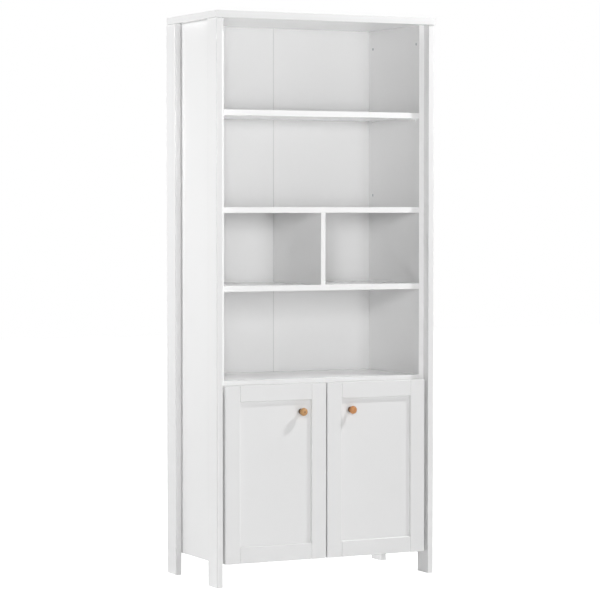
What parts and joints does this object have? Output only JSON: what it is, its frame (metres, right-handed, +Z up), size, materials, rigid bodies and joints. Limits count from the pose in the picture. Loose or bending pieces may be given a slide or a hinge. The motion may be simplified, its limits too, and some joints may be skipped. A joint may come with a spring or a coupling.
{
  "type": "bookcase",
  "caption": "Tall white bookcase with plank posts outside its side panels, open shelves, divided cubbies and a low cabinet with framed doors and round wooden knobs.",
  "frame": {"origin": "on the floor, under the middle of the box that holds the whole bookcase, knobs included", "axes": "+X to the right as seen from the front, +Y to the back, +Z up; the doors face -Y"},
  "size_m": [0.78, 0.407, 1.8],
  "materials": {
    "board_foil": "smooth white melamine foil on particle board",
    "door_paint": "satin white lacquer on fibreboard",
    "back_board": "white printed hardboard",
    "beech": "turned and lacquered",
    "dowel_wood": "fluted, bare",
    "white_plastic": "moulded",
    "clear_plastic": "soft, clear",
    "zinc": "die cast zinc",
    "steel": "zinc plated",
    "nickel": "nickel plated"
  },
  "bodies": {
    "carcass": {"back_joint_strip": "white_plastic", "back_nails": "steel", "back_panel_left": "back_board", "back_panel_right": "back_board", "cabinet_floor": "board_foil", "cabinet_shelf": "board_foil", "cabinet_shelf_supports": "white_plastic", "cabinet_top": "board_foil", "cam_bolts": "steel", "cam_locks": "zinc", "cubby_divider": "board_foil", "dowels": "dowel_wood", "left_hinge_arms": "nickel", "left_hinge_clamp_screws": "nickel", "left_hinge_plate_screws": "nickel", "left_hinge_plates": "nickel", "lower_shelf": "board_foil", "middle_shelf": "board_foil", "post_front_left": "board_foil", "post_front_right": "board_foil", "post_rear_left": "board_foil", "post_rear_right": "board_foil", "post_screws": "steel", "right_hinge_arms": "nickel", "right_hinge_clamp_screws": "nickel", "right_hinge_plate_screws": "nickel", "right_hinge_plates": "nickel", "side_panel_left": "board_foil", "side_panel_right": "board_foil", "top_panel": "board_foil", "top_screw_caps": "white_plastic", "top_screws": "steel", "upper_shelf": "board_foil", "upper_shelf_supports": "white_plastic"},
    "left_door": {"left_door_bottom_rail": "door_paint", "left_door_bumpers": "clear_plastic", "left_door_hinge_stile": "door_paint", "left_door_knob": "beech", "left_door_knob_screw": "steel", "left_door_meeting_stile": "door_paint", "left_door_panel": "door_paint", "left_door_top_rail": "door_paint", "left_hinge_cups": "nickel", "left_hinge_pins": "nickel", "left_hinge_cup_screws": "nickel"},
    "right_door": {"right_door_bottom_rail": "door_paint", "right_door_bumpers": "clear_plastic", "right_door_hinge_stile": "door_paint", "right_door_knob": "beech", "right_door_knob_screw": "steel", "right_door_meeting_stile": "door_paint", "right_door_panel": "door_paint", "right_door_top_rail": "door_paint", "right_hinge_cups": "nickel", "right_hinge_pins": "nickel", "right_hinge_cup_screws": "nickel"}
  },
  "joints": [
    {"name": "left_door_swing", "type": "hinge", "parent": "carcass", "child": "left_door", "pos_m": [-0.3465, -0.1725, 0.352], "axis": [0, 0, -1], "range_deg": [0, 105]},
    {"name": "right_door_swing", "type": "hinge", "parent": "carcass", "child": "right_door", "pos_m": [0.3465, -0.1725, 0.352], "axis": [0, 0, 1], "range_deg": [0, 105]}
  ]
}
